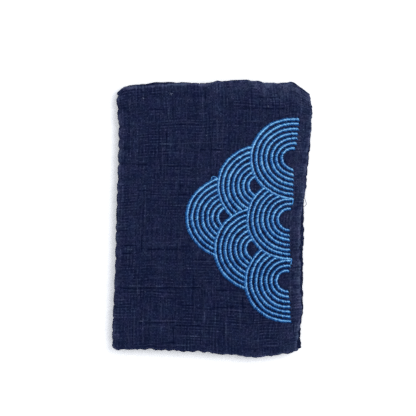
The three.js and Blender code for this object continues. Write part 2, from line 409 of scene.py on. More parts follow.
# ---------------------------------------------------------------------------------------------------
# Relief of the right side of the cloth
# ---------------------------------------------------------------------------------------------------
# Slubs (height above 0) and sharp creases of the gauze (below 0), placed one by one: y and the stretch of x they cover
WEFT_RIDGES = [
    dict(y=112.9, start=40, end=64, height=-0.27),
    dict(y=102.0, start=23, end=69, height=-0.37),
    dict(y=101.2, start=-60, end=-42, height=-0.37),
    dict(y=90.0, start=28, end=55, height=0.29),
    dict(y=89.1, start=-36, end=-8, height=0.34),
    dict(y=88.7, start=-75, end=-49, height=0.28),
    dict(y=87.2, start=-36, end=-17, height=-0.37),
    dict(y=70.5, start=-20, end=1, height=0.29),
    dict(y=69.6, start=-51, end=-18, height=0.35),
    dict(y=63.8, start=-19, end=12, height=-0.38),
    dict(y=50.1, start=-52, end=-31, height=0.34),
    dict(y=50.1, start=-76, end=-58, height=-0.29),
    dict(y=48.9, start=-46, end=-18, height=-0.34),
    dict(y=37.4, start=-50, end=-9, height=0.32),
    dict(y=30.6, start=-43, end=-24, height=-0.31),
    dict(y=29.7, start=-73, end=-53, height=0.33),
    dict(y=26.0, start=-73, end=-52, height=-0.32),
    dict(y=22.2, start=-37, end=-20, height=-0.35),
    dict(y=-4.7, start=-89, end=-70, height=0.29),
    dict(y=-25.0, start=-60, end=-32, height=0.33),
    dict(y=-25.1, start=-85, end=-69, height=-0.34),
    dict(y=-26.6, start=-46, end=-16, height=-0.31),
    dict(y=-28.7, start=-90, end=-70, height=0.34),
    dict(y=-28.8, start=-63, end=-26, height=-0.43),
    dict(y=-32.6, start=-90, end=-73, height=-0.33),
    dict(y=-38.1, start=-22, end=-3, height=-0.31),
    dict(y=-40.0, start=-20, end=3, height=0.29),
    dict(y=-43.7, start=-88, end=-68, height=-0.28),
    dict(y=-54.8, start=-58, end=-40, height=0.33),
    dict(y=-63.0, start=-80, end=12, height=0.37),
    dict(y=-64.4, start=-88, end=-8, height=-0.42),
    dict(y=-66.9, start=-9, end=18, height=-0.38),
    dict(y=-77.1, start=15, end=34, height=0.30),
    dict(y=-80.8, start=-34, end=-15, height=-0.42),
    dict(y=-82.8, start=-17, end=34, height=-0.39),
    dict(y=-85.0, start=5, end=36, height=0.33),
    dict(y=-95.0, start=-70, end=-15, height=0.40),
    dict(y=-96.6, start=-71, end=-34, height=-0.31),
    dict(y=-99.3, start=-41, end=-7, height=-0.34),
    dict(y=-100.3, start=-68, end=-35, height=0.31),
    dict(y=-109.3, start=-37, end=-5, height=0.32),
    dict(y=-115.2, start=-50, end=-31, height=-0.36),
    dict(y=-117.5, start=-49, end=-7, height=0.34),
    dict(y=-118.6, start=42, end=76, height=0.32),
]
WARP_RIDGES = [
    dict(x=-81.3, start=49, end=77, height=-0.27),
    dict(x=-77.9, start=-120, end=-92, height=0.20),
    dict(x=-69.4, start=-73, end=-46, height=0.23),
    dict(x=-66.0, start=-37, end=-15, height=-0.32),
    dict(x=-64.6, start=-119, end=-83, height=0.30),
    dict(x=-62.3, start=-34, end=33, height=0.23),
    dict(x=-49.3, start=60, end=97, height=-0.27),
    dict(x=-46.7, start=49, end=79, height=0.28),
    dict(x=-42.2, start=50, end=82, height=-0.29),
    dict(x=-40.2, start=81, end=116, height=0.23),
    dict(x=-36.2, start=-119, end=-88, height=-0.29),
    dict(x=-33.2, start=-119, end=-72, height=0.25),
    dict(x=-31.4, start=-75, end=-18, height=0.20),
    dict(x=-29.8, start=6, end=34, height=-0.27),
    dict(x=-17.9, start=-88, end=-49, height=-0.29),
    dict(x=-16.3, start=-119, end=-88, height=0.28),
    dict(x=-13.8, start=-62, end=-27, height=0.23),
    dict(x=-8.7, start=74, end=120, height=0.25),
    dict(x=-7.2, start=-115, end=-71, height=0.25),
    dict(x=-6.2, start=101, end=122, height=-0.31),
    dict(x=-1.2, start=37, end=80, height=-0.28),
    dict(x=3.3, start=-121, end=-72, height=0.28),
    dict(x=4.7, start=68, end=110, height=0.23),
    dict(x=9.6, start=49, end=97, height=0.23),
    dict(x=10.5, start=-121, end=-91, height=-0.23),
    dict(x=12.6, start=-121, end=-77, height=0.26),
    dict(x=21.1, start=95, end=122, height=0.22),
    dict(x=25.4, start=-122, end=-66, height=0.28),
    dict(x=28.5, start=-100, end=-70, height=-0.26),
    dict(x=35.4, start=87, end=115, height=0.27),
    dict(x=36.7, start=88, end=124, height=-0.24),
    dict(x=43.0, start=-122, end=-93, height=0.27),
    dict(x=63.0, start=94, end=121, height=0.23),
    dict(x=75.4, start=-119, end=-95, height=-0.29),
    dict(x=-72.8, start=-119, end=-82, height=0.22),
    dict(x=-47.3, start=-119, end=-78, height=0.24),
    dict(x=-40.2, start=-114, end=-72, height=0.25),
]
RIDGE = dict(slub=0.8, crease=0.65, fade=5.0)


def sorted_apart(rows, across_key):
    """Sets of lines that keep well clear of each other, so that a place is near one line of a set at most."""
    sets = []
    for n, q in enumerate(rows):
        clear = lambda o: abs(q[across_key] - o[across_key]) > 7.0 or q["start"] > o["end"] + 3.0 or q["end"] < o["start"] - 3.0
        for lines in sets:
            if all(clear(rows[k]) for k in lines):
                lines.append(n)
                break
        else:
            sets.append([n])
    return sets


def ridge(rows, across_key, here, run, seed, pale):
    """Height of the placed lines, and for each set of them how far off the line a place is and how strong it is there."""
    total, drawn = np.zeros(here.shape), []
    for lines in sorted_apart(rows, across_key):
        away, strong = np.full(here.shape, 9.0), np.zeros(here.shape)
        for n in lines:
            q = rows[n]
            off = here - q[across_key] - 0.5 * noise(run / 19.0, n * 3.3, seed) - 0.18 * noise(run / 5.0, n * 5.7, seed + 1)
            fade = ease((run - q["start"]) / RIDGE["fade"]) * ease((q["end"] - run) / RIDGE["fade"])
            fade = fade * np.clip(0.7 + 0.9 * noise(run / 4.5, n * 8.1, seed + 2), 0.0, 1.3)
            wide = RIDGE["slub"] if q["height"] > 0 else RIDGE["crease"]
            total = total + q["height"] * fade * (np.exp(-((off / wide) ** 2)) - 0.5 * np.exp(-(((off + 1.7) / 0.8) ** 2)))
            here_on = (np.abs(off) < 3.0) & (run > q["start"] - 1.0) & (run < q["end"] + 1.0)
            away = np.where(here_on, off, away)
            shade = q["height"] * (pale if q["height"] > 0 else 1.0)
            strong = np.where(here_on, shade * fade * ease((2.8 - np.abs(off)) / 0.8), strong)
        drawn.append((away, strong))
    return total, drawn


WEFT_RIB = 2.72  # from one rib of the crinkled gauze to the next: two yarns


def relief(p, st, ac):
    """How far the right side of the cloth stands out from its smooth fold, and how pale its colour is there: its dye,
    with painted sheen and painted shade in it.
    """
    x, y = p[..., 0], p[..., 1]
    s = st["s"][:, None] + 0 * x
    t = ac["t"][None, :] + 0 * x
    # crinkle in the cloth's own sizes, so that it runs on round the folds
    wave = t + 0.9 * noise(s / 50.0, t / 24.0, 45) + 0.2 * noise(s / 17.0, t / 9.0, 46)
    patch = ease(0.42 + 1.3 * noise(s / 24.0, t / 19.0, 47) + 0.5 * noise(s / 9.0, t / 11.0, 49))
    patch = patch * (1 - 0.6 * ease((x - 45.0) / 20.0) * ease((-86.0 - y) / 14.0))  # smoother below the embroidery
    rib = np.sin(2 * math.pi * wave / WEFT_RIB) * patch
    fine = 0.04 * rib + 0.05 * noise(s / 9.0, t / 1.4, 41) + 0.05 * noise(s / 1.8, t / 9.0, 42) + 0.06 * noise(s / 2.5, t / 1.7, 43)
    puff = 0.09 * noise(s / 8.5, t / 5.5, 44) + 0.08 * noise(s / 4.4, t / 3.4, 48)
    out = fine + puff
    # the colour follows the relief: painted shade in the hollows of the crinkle, paler on its raised yarn
    dye_and_painted_light = 0.8 * fine + 0.16 * puff
    leg, layer = st["leg"][:, None], ac["layer"][None, :]
    top = (leg == 6) & (layer < 0.5)
    weft_lines, weft_drawn = ridge(WEFT_RIDGES, "y", y, x, 51, 1.45)
    warp_lines, warp_drawn = ridge(WARP_RIDGES, "x", x, y, 55, 1.8)
    lines = np.where(top, weft_lines + warp_lines, 0.0)
    out = out + 0.7 * lines
    # paler along the placed slubs; painted shade along the placed creases
    dye_and_painted_light = dye_and_painted_light + 0.2 * lines
    drawn = [(away, np.where(top, strong, 0.0)) for away, strong in weft_drawn + warp_drawn]
    # small folds that run in from the notches of the left fold
    inward = np.where(top, (st["share"] * PASS_LENGTH)[:, None], 0.0)
    on_fold = np.where((leg == 5) | top, 1.0, 0.0)
    y_plain = mix(-124, 126, ac["v"])[None, :] + 0 * x
    notch = on_fold * gather_depth(y_plain) * (gathers(y_plain) - 0.7) * np.exp(-inward / 3.6)
    out = out + 0.5 * notch * (1 - st["turn"][:, None])
    # painted shade in the notches of the left fold, paler on the swells between them
    dye_and_painted_light = dye_and_painted_light + 0.2 * notch
    # hems: a doubled band with a drawn-in line of stitches along its inner edge
    d = np.where((st["leg"] == 6) | (st["leg"] == 0), (1 - st["share"]) * PASS_LENGTH, 99.0)[:, None]
    h = np.where(layer == 0.5, 1.0, ac["v"][None, :]) * LAYER_LENGTH
    for edge, wide in ((d, 8.2), (h + 0 * x, 7.0)):
        out = out + 0.2 * ease((wide + 0.6 - edge) / 1.4) - 0.1 * np.exp(-(((edge - wide) / 0.7) ** 2))
    # the cloth is drawn down under the embroidered lines and puffs a little between them
    dist = np.where(top, line_distance(x + SHIFT[0], y + SHIFT[1]), 99.0)
    out = out - 0.22 * np.exp(-((dist / 1.5) ** 2))
    # painted shade: the cloth is darker under and between the embroidered lines, more so towards the bottom
    dye_and_painted_light = dye_and_painted_light - (0.05 + 0.12 * ease((30.0 - y) / 70.0)) * ease((3.4 - dist) / 1.2)
    # painted sheen: the cloth is paler along the folds and ends, where its rounded edges catch the light; painted
    # shade: it is darkest in the layers that lie inside
    uneven = 0.8 + 0.5 * noise(s / 5.0, t / 3.6, 71)
    fold_in = np.where(leg == 5, (1 - np.sin(math.pi * st["turn_at"])[:, None]) * STACK_R, np.where(top, STACK_R + inward, 99.0))
    upper = (leg == 6) | ((leg == 5) & (st["turn_at"][:, None] > 0.35))
    # painted sheen on the crown of the fat fold at the left
    dye_and_painted_light = dye_and_painted_light + np.where(upper & (layer < 0.5), 0.64 * np.exp(-((fold_in / mix(4.8, 4.1, ease(y / 40.0))) ** 2)) * uneven, 0.0)
    # painted sheen along the hemmed end of the top pass and on the strip beside it
    dye_and_painted_light = dye_and_painted_light + np.where(top, (0.4 * np.exp(-((d / 1.7) ** 2)) + 0.24 * ease((21.0 - d) / 13.0) + 0.14 * ease((-30.0 - y) / 20.0) * ease((8.0 - d) / 4.0)) * uneven, 0.0)
    # painted sheen along the crease of the far edge and on the cloth beside it, turning to painted shade on the
    # diagonal of the far corner
    crease = np.where(layer > 0, 8.0 * layer * (leg == 6), (1 - ac["v"])[None, :] * LAYER_LENGTH)
    right_part = ease((x + 14.0) / 24.0)
    crease_sheen_and_shade = mix(mix(1.15, 0.45, right_part), -0.4, ease((x - 73.0) / 3.0)) * np.exp(-((crease / mix(1.35, 1.9, right_part)) ** 2))
    wide = 0.25 * right_part + 0.32 * ease((x - 26.0) / 30.0) * (1 - 0.35 * ease((x - 62.0) / 10.0))
    dye_and_painted_light = dye_and_painted_light + np.where((leg == 6) & (layer < 0.8), (crease_sheen_and_shade + wide * np.exp(-((crease / 14.0) ** 2))) * uneven, 0.0)
    # painted sheen along the open edge at the bottom
    near_edge_sheen = np.exp(-((h / 1.6) ** 2)) * ease((x + 20.0) / 30.0)
    dye_and_painted_light = dye_and_painted_light + np.where(top, 0.55 * near_edge_sheen * uneven, 0.0)
    # painted shade: the layers that lie inside, and the lower layer of the top pass, a little darker
    dye_and_painted_light = np.where((leg < 5) | ((layer > 0.5) & (leg == 6)), dye_and_painted_light - 0.02, dye_and_painted_light)
    # painted shade: the cloth a little darker towards the bottom, away from the light at the upper right
    dye_and_painted_light = dye_and_painted_light - 0.065 * ease((20.0 - y) / 90.0)
    return out, dye_and_painted_light, wave, patch, drawn


# ---------------------------------------------------------------------------------------------------
# The sheet as one closed mesh: fine where it shows from above, plainer in the hidden layers
# ---------------------------------------------------------------------------------------------------
ST, AC = route_lines(), cross_lines()
NS, NT = len(ST["s"]), len(AC["t"])
FACE = surface(ST, AC, FACE_O)
BACK = surface(ST, AC, BACK_O)
low, high = FACE.reshape(-1, 3).min(0), FACE.reshape(-1, 3).max(0)
SHIFT = np.array([-(low[0] + high[0]) / 2, -(low[1] + high[1]) / 2, 0.0])
FACE_N = normals(FACE)
HEIGHT, DYE_AND_PAINTED_LIGHT, WAVE, PATCH, DRAWN = relief(FACE, ST, AC)
# the underside stays flat where it lies on the surface
under = (ST["leg"][:, None] == 4) & (AC["layer"][None, :] < 0.5)
HEIGHT = np.where(under, np.minimum(HEIGHT, 0.0), HEIGHT)
hidden = (ST["leg"][:, None] < 4) | ((AC["layer"][None, :] > 0.5) & (ST["leg"][:, None] != 3))
HEIGHT = np.where(hidden, HEIGHT * 0.5, HEIGHT)
FACE = FACE + FACE_N * HEIGHT[..., None] + SHIFT
FACE[..., 2] = np.maximum(FACE[..., 2], 0.0)
BACK = BACK + SHIFT


def fold_mesh():
    fine_i, fine_j = ST["fine"], AC["fine"]
    ci, cj = ST["coarse"].copy(), AC["coarse"].copy()
    ci[[0, -1]] = True
    cj[[0, -1]] = True
    hem = np.zeros(NS, bool)
    hem[: HEM_ROWS["first"]] = True
    hem[-HEM_ROWS["last"] :] = True
    both_fine = (fine_i[:, None] & fine_j[None, :]) | (hem[:, None] & np.ones(NT, bool)[None, :])
    used = (ci[:, None] & cj[None, :]) | both_fine
    edge = np.zeros((NS, NT), bool)
    edge[[0, -1], :] = True
    edge[:, [0, -1]] = True
    # the wrong side: every second plain line of the passes, and all of them in the folds
    bi, bj = ci.copy(), cj.copy()
    plain = np.where(ci & (ST["turn"] == 0) & (ST["share"] > 0) & (ST["share"] < 1))[0]
    bi[plain[1::2]] = False
    plain = np.where(cj & (AC["round"] == 0) & (AC["v"] > 0) & (AC["v"] < 1))[0]
    bj[plain[1::2]] = False
    bi[[0, -1]] = True
    bj[[0, -1]] = True
    used_back = (bi[:, None] & bj[None, :]) | (edge & used)

    face_at = np.full((NS, NT), -1)
    face_at[used] = np.arange(used.sum())
    back_at = np.full((NS, NT), -1)
    back_at[used_back] = used.sum() + np.arange(used_back.sum())
    verts = [FACE[used], BACK[used_back]]
    st, tt = np.meshgrid(ST["s"], AC["t"], indexing="ij")
    flat = np.stack([st, tt], -1)
    uv = [flat[used], flat[used_back]]
    at_line = np.stack(np.meshgrid(np.arange(NS), np.arange(NT), indexing="ij"), -1)
    lines = [at_line[used], at_line[used_back]]

    faces = []

    def walk(i0, i1, j0, j1, at, used_here):
        loop = [at[i, j0] for i in range(i0, i1) if used_here[i, j0]]
        loop += [at[i1, j] for j in range(j0, j1) if used_here[i1, j]]
        loop += [at[i, j1] for i in range(i1, i0, -1) if used_here[i, j1]]
        loop += [at[i0, j] for j in range(j1, j0, -1) if used_here[i0, j]]
        return [int(v) for v in loop]

    li, lj = np.where(ci)[0], np.where(cj)[0]
    for i0, i1 in zip(li[:-1], li[1:]):
        for j0, j1 in zip(lj[:-1], lj[1:]):
            if both_fine[i0 : i1 + 1, j0 : j1 + 1].all():
                continue
            faces.append(walk(i0, i1, j0, j1, face_at, used))
    quad = both_fine[:-1, :-1] & both_fine[1:, :-1] & both_fine[:-1, 1:] & both_fine[1:, 1:]
    qi, qj = np.where(quad)
    faces += np.stack([face_at[qi, qj], face_at[qi + 1, qj], face_at[qi + 1, qj + 1], face_at[qi, qj + 1]], 1).tolist()
    li, lj = np.where(bi)[0], np.where(bj)[0]
    for i0, i1 in zip(li[:-1], li[1:]):
        for j0, j1 in zip(lj[:-1], lj[1:]):
            faces.append(walk(i0, i1, j0, j1, back_at, used_back)[::-1])

    # rounded edge all round the cloth
    ring = [(i, 0) for i in range(NS - 1) if used[i, 0]] + [(NS - 1, j) for j in range(NT - 1) if used[NS - 1, j]]
    ring += [(i, NT - 1) for i in range(NS - 1, 0, -1) if used[i, NT - 1]] + [(0, j) for j in range(NT - 1, 0, -1) if used[0, j]]
    ri = np.array([q[0] for q in ring])
    rj = np.array([q[1] for q in ring])
    f, b = FACE[ri, rj], BACK[ri, rj]
    out = np.zeros_like(f)
    out[ri == NS - 1] += unit(FACE[-1, rj[ri == NS - 1]] - FACE[-3, rj[ri == NS - 1]])
    out[ri == 0] += unit(FACE[0, rj[ri == 0]] - FACE[2, rj[ri == 0]])
    out[rj == 0] += unit(FACE[ri[rj == 0], 0] - FACE[ri[rj == 0], 2])
    out[rj == NT - 1] += unit(FACE[ri[rj == NT - 1], -1] - FACE[ri[rj == NT - 1], -2])
    out = unit(out)
    rows, start = [face_at[ri, rj]], used.sum() + used_back.sum()
    for turn in np.radians([40, 90, 140]):
        verts.append(mix(f, b, (1 - math.cos(turn)) / 2) + out * RIM * 1.1 * math.sin(turn))
        uv.append(flat[ri, rj])
        lines.append(at_line[ri, rj])
        rows.append(start + np.arange(len(ring)))
        start += len(ring)
    rows.append(back_at[ri, rj])
    for a, c in zip(rows[:-1], rows[1:]):
        faces += np.stack([np.roll(a, -1), a, c, np.roll(c, -1)], 1).tolist()
    v = np.concatenate(verts)
    v[:, 2] = np.maximum(v[:, 2], 0.0)
    wrong_side = np.arange(len(v)) - used.sum()
    wrong_side = (wrong_side >= 0) & (wrong_side < used_back.sum())
    return v, faces, np.concatenate(uv), np.concatenate(lines), wrong_side


def put_values(obj, name, values):
    attribute = obj.data.attributes.new(name, "FLOAT", "POINT")
    attribute.data.foreach_set("value", np.ascontiguousarray(values, np.float32))


verts, faces, uv, lines, wrong_side = fold_mesh()
towel = new_mesh("towel_cloth", verts, faces, uv)
at = (lines[:, 0], lines[:, 1])
# painted shade: the wrong side of the cloth, which shows only between the layers, is given a darker colour
put_values(towel, "dye_and_painted_light", np.where(wrong_side, -0.15, DYE_AND_PAINTED_LIGHT[at]))
put_values(towel, "weft_at", WAVE[at])
put_values(towel, "crinkled", PATCH[at])
for n, (away, strong) in enumerate(DRAWN):
    put_values(towel, "off_line_%d" % n, away[at])
    put_values(towel, "strong_%d" % n, np.where(wrong_side, 0.0, strong[at]))


# ---------------------------------------------------------------------------------------------------
# Places on the top of the towel, for what is stitched or lies on it
# ---------------------------------------------------------------------------------------------------
TOP_I = np.where(ST["leg"] == 6)[0]
TOP_J = np.where(AC["layer"] == 0.0)[0]
TOP_P = FACE[TOP_I][:, TOP_J]
TOP_N = normals(TOP_P)


def on_top(d, h):
    """Point and outward direction of the cloth at d in from the hemmed end and h up from the open edge."""
    d, h = np.broadcast_arrays(np.asarray(d, float), np.asarray(h, float))
    ni, nj = TOP_P.shape[0] - 1, TOP_P.shape[1] - 1
    a = np.clip((1 - d / PASS_LENGTH) * ni, 0, ni - 1e-6)
    b = np.clip(h / LAYER_LENGTH * nj, 0, nj - 1e-6)
    i, j = a.astype(int), b.astype(int)
    fa, fb = (a - i)[..., None], (b - j)[..., None]
    blend = lambda g: mix(mix(g[i, j], g[i + 1, j], fa), mix(g[i, j + 1], g[i + 1, j + 1], fa), fb)
    return blend(TOP_P), unit(blend(TOP_N))


def place_under(x, y):
    """d and h of the cloth under a place seen from above."""
    x, y = np.broadcast_arrays(np.asarray(x, float), np.asarray(y, float))
    d, h = np.full(x.shape, 80.0), np.full(x.shape, 125.0)
    for _ in range(14):
        p, _n = on_top(d, h)
        d, h = d - (x - p[..., 0]), h + (y - p[..., 1])
    return d, h


def over(x, y):
    """Point and outward direction of the cloth under a place seen from above."""
    return on_top(*place_under(x, y))


# ---------------------------------------------------------------------------------------------------
# Satin stitches
# ---------------------------------------------------------------------------------------------------
STITCH = dict(step=0.8, half_wide=0.52, height=1.35, slant=-26.0, bundle=2.2)
ACROSS = np.array([-1.0, -0.64, -0.32, 0.0, 0.32, 0.64, 1.0])  # sections of a stitch
SHEEN = np.array([0.72, 0.69])  # painted highlight: the flank of a line on this side, towards the light at the upper right, gets the paler strand
PAD = dict(step=1.3, height=0.7, around=5)  # what the stitches are laid over


def line_path(k, n, step):
    """One embroidered line from hem to hem: places along it, with their directions and where they are on the line."""
    c = SCALES[k]
    key = np.array([k * 16 + n])
    wide, tall = c["wide"] / MOTIF["outer"], c["tall"] / MOTIF["outer"]
    ends = [
        max(0.2, float(along(BASE_LINE, "y", "x", c["y"] + way * tall * RADII[n])) - c["x"] + 0.2 * float(hashed(key, key + way, 81)[0]))
        for way in (1, -1)
    ]
    arc = math.pi * RADII[n] * (wide + tall) / 2
    total = ends[0] + arc + ends[1]
    count = max(2, int(round(total / step)))
    q = (np.arange(count) + 0.5) * total / count
    turn = np.clip((q - ends[0]) / arc, 0, 1) * math.pi
    radius = RADII[n] + 0.36 * noise(q / 14.0, key * 4.1, 82) + 0.12 * noise(q / 5.0, key * 5.3, 83)
    radius = radius + c["flare"][0] * np.exp(-((turn / 0.29) ** 2)) + c["flare"][1] * np.exp(-(((math.pi - turn) / 0.29) ** 2))
    x = c["x"] - wide * radius * np.sin(turn) + np.maximum(ends[0] - q, 0) + np.maximum(q - ends[0] - arc, 0)
    y = c["y"] + tall * radius * np.cos(turn)
    shown = np.ones(count, bool)
    for front in range(k):
        shown &= reach_of(front, x, y) > MOTIF["outer"] + 0.3 * MOTIF["width"]
    return np.stack([x, y], -1), unit(np.stack([-wide * np.cos(turn), -tall * np.sin(turn)], -1)), q, shown


def padding():
    """Low rolls under the stitches, one for each stretch of line that shows."""
    verts, faces, start = [], [], 0
    turn = np.linspace(math.pi, 0, PAD["around"])
    for k in range(len(SCALES)):
        for n in range(MOTIF["lines"]):
            place, way, q, shown = line_path(k, n, PAD["step"])
            edges = np.flatnonzero(np.diff(np.concatenate([[0], shown.astype(int), [0]])))
            for i0, i1 in zip(edges[::2], edges[1::2]):
                if i1 - i0 < 2:
                    continue
                perp = np.stack([-way[i0:i1, 1], way[i0:i1, 0]], -1)
                half = 0.38 * MOTIF["width"]
                flat = place[i0:i1, None, :] + perp[:, None, :] * (np.cos(turn) * half)[None, :, None]
                p, nrm = over(flat[..., 0], flat[..., 1])
                p = p + nrm * (np.sin(turn) * PAD["height"] - 0.1)[None, :, None]
                m, g = p.shape[:2]
                at = start + np.arange(m * g).reshape(m, g)
                nxt = np.roll(at, -1, axis=1)
                faces += np.stack([at[:-1], at[1:], nxt[1:], nxt[:-1]], -1).reshape(-1, 4).tolist()
                faces += [at[0].tolist(), at[-1].tolist()[::-1]]
                verts.append(p.reshape(-1, 3))
                start += m * g
    return np.concatenate(verts), faces


def embroidery():
    rows = [(*line_path(k, n, STITCH["step"]), k * 16 + n) for k in range(len(SCALES)) for n in range(MOTIF["lines"])]
    place = np.concatenate([r[0][r[3]] for r in rows])
    way = np.concatenate([r[1][r[3]] for r in rows])
    run = np.concatenate([r[2][r[3]] for r in rows])
    key = np.concatenate([np.full(r[3].sum(), r[4]) for r in rows])
    count = len(run)
    number = np.arange(count)
    rnd = lambda seed: hashed(number, number * 0 + 7, seed)
    # stitches lie in small bundles along the line, with a slit now and then between two
    cell = run / STITCH["bundle"] + 0.45 * noise(run / 6.0, key * 2.1, 62) + 0.37 * key
    phase = cell - np.floor(cell)
    belly = np.sin(math.pi * phase) ** 0.6
    slit = (phase < 0.25) & (hashed(np.floor(cell), key, 69) > 0.3)
    lump = hashed(np.floor(cell), key, 61)
    slant = np.radians(STITCH["slant"] + 7 * rnd(63))
    perp = np.stack([-way[:, 1], way[:, 0]], -1)
    axis = perp * np.cos(slant)[:, None] + way * np.sin(slant)[:, None]
    side = np.stack([axis[:, 1], -axis[:, 0]], -1)
    half = MOTIF["width"] / 2 * (0.97 + 0.09 * rnd(64) + 0.07 * lump + 0.04 * belly) / np.cos(slant) * (1 + 0.03 * (axis @ SHEEN) ** 2)
    high = STITCH["height"] * (0.93 + 0.07 * rnd(65) + 0.05 * lump + 0.07 * belly) * np.where(slit, 0.84, 1.0)
    wide = STITCH["half_wide"] * (1 + 0.12 * rnd(66)) * np.where(slit, 0.8, 1.0)
    facing = axis @ SHEEN
    shift = 0.2 * rnd(67) - 0.4 * facing
    q, m = ACROSS, len(ACROSS)
    arch = (1 - np.abs(q) ** 1.75) ** 1.1
    taper = 0.6 + 0.4 * np.sqrt(arch)
    around = np.radians([205, 120, 60, -25])
    g = len(around)
    # flat places of every point of every stitch: stitch, section, point round the thread
    mid = place[:, None, :] + axis[:, None, :] * (q[None, :, None] * half[:, None, None] + shift[:, None, None])
    x = mid[:, :, None, 0] + side[:, None, None, 0] * (np.cos(around) * wide[:, None, None] * taper[None, :, None])
    y = mid[:, :, None, 1] + side[:, None, None, 1] * (np.cos(around) * wide[:, None, None] * taper[None, :, None])
    up = high[:, None, None] * arch[None, :, None] - 0.18 + np.sin(around) * 0.62 * wide[:, None, None] * taper[None, :, None]
    p, nrm = over(x, y)
    p = p + nrm * up[..., None]
    at = np.arange(count * m * g).reshape(count, m, g)
    nxt = np.roll(at, -1, axis=2)
    faces = np.stack([at[:, :-1], nxt[:, :-1], nxt[:, 1:], at[:, 1:]], -1).reshape(-1, 4).tolist()
    faces += at[:, 0, ::-1].tolist() + at[:, -1].tolist()
    uv = np.stack(np.broadcast_arrays(
        (q * 0.5 + 0.5)[None, :, None] + number[:, None, None] * 0.0, (np.arange(g) / (g - 1))[None, None, :] + number[:, None, None] * 0.0), -1)
    uv = uv + np.stack([number * 0.0, number * 1.37 % 97], -1)[:, None, None, :]
    # painted shade in the slits between bundles; the rest of the tone is uneven at random, with painted light making it
    # paler towards the top of the border and darker towards its bottom
    tone = 0.44 + 0.17 * rnd(68) + 0.06 * lump + 0.05 * belly - np.where(slit, 0.17, 0.0) + 0.0007 * place[:, 1]
    # painted shade: the ends of the stitches, low on the flanks where they go down into the cloth, are a deep, dark
    # blue
    tone = tone[:, None, None] - 0.24 * ((1 - arch) ** 1.5)[None, :, None] + 0 * up
    return p.reshape(-1, 3), faces, uv.reshape(-1, 2), tone.ravel(), (facing[:, None, None] + 0 * up).ravel()


verts, faces, uv, tone, facing = embroidery()
pad_verts, pad_faces = padding()
pad_faces = [[len(verts) + v for v in f] for f in pad_faces]
stitches = new_mesh(
    "embroidery_stitches",
    np.concatenate([verts, pad_verts]),
    faces + pad_faces,
    np.concatenate([uv, pad_verts[:, :2] * 0.0]),
)
put_values(stitches, "facing", np.concatenate([facing, np.zeros(len(pad_verts))]))
# the rolls under the stitches get a very dark tone: painted shade in the slits between the stitches
put_values(stitches, "tone", np.clip(np.concatenate([tone, np.full(len(pad_verts), 0.06)]), 0, 1))


# ---------------------------------------------------------------------------------------------------
# Slubs: thick stretches of single yarns that stand up out of the weave, and knots of loose fibre
# ---------------------------------------------------------------------------------------------------
SLUBS = dict(weft=95, warp=85, step=1.5, around=5)
# tufts of loose fibre that show paler than the cloth: place, how many fibres and how long they are
TUFTS = [
    dict(x=-38.0, y=115.6, fibres=5, length=3.2, pale=1.0),
    dict(x=-63.7, y=111.5, fibres=4, length=2.0, pale=1.15),
    dict(x=-5.0, y=77.1, fibres=4, length=2.2, pale=0.85),
    dict(x=52.3, y=104.1, fibres=4, length=2.0, pale=0.95),
    dict(x=-61.8, y=-68.0, fibres=3, length=1.6, pale=0.45),
]


class Tubes:
    """Many thin closed tubes, gathered into one mesh."""

    def __init__(self, around):
        self.around = around
        self.verts, self.faces, self.uv, self.tone, self.start = [], [], [], [], 0

    def add(self, path, radius, tone, number):
        """One tube along the points of a path, with a radius at each point."""
        path, radius = np.asarray(path, float), np.broadcast_to(radius, (len(path),))
        way = unit(np.gradient(path, axis=0))
        side = unit(np.cross(way, np.broadcast_to([0.03, 0.05, 1.0], way.shape)))
        up = np.cross(side, way)
        g, m = self.around, len(path)
        turn = np.arange(g) / g * 2 * math.pi
        ring = path[:, None] + radius[:, None, None] * (np.cos(turn)[None, :, None] * side[:, None] + np.sin(turn)[None, :, None] * up[:, None])
        at = self.start + np.arange(m * g).reshape(m, g)
        nxt = np.roll(at, -1, axis=1)
        self.faces += np.stack([at[:-1], nxt[:-1], nxt[1:], at[1:]], -1).reshape(-1, 4)[:, ::-1].tolist()
        self.faces += [at[0].tolist(), at[-1][::-1].tolist()]
        self.verts.append(ring.reshape(-1, 3))
        length = np.concatenate([[0], np.cumsum(np.linalg.norm(np.diff(path, axis=0), axis=1))])
        self.uv.append(np.stack(np.broadcast_arrays(length[:, None], number * 3.7 + np.arange(g)[None, :] / g), -1).reshape(-1, 2))
        self.tone.append(np.broadcast_to(np.broadcast_to(tone, (m,))[:, None], (m, g)).ravel())
        self.start += m * g

    def mesh(self, name):
        obj = new_mesh(name, np.concatenate(self.verts), self.faces, np.concatenate(self.uv))
        put_values(obj, "tone", np.concatenate(self.tone))
        return obj


def slub_path(d, h, thick, number):
    """A slub on the cloth: swells and thins along its length and runs out at both ends."""
    m = len(d)
    f = np.linspace(0, 1, m)
    radius = thick * np.clip(np.sin(math.pi * f), 0, 1) ** 0.5 * (0.85 + 0.3 * noise(f * m * 0.45, number * 2.7, 91)) + 0.03
    p, nrm = on_top(d, h)
    return p + nrm * (0.35 * radius)[:, None], radius


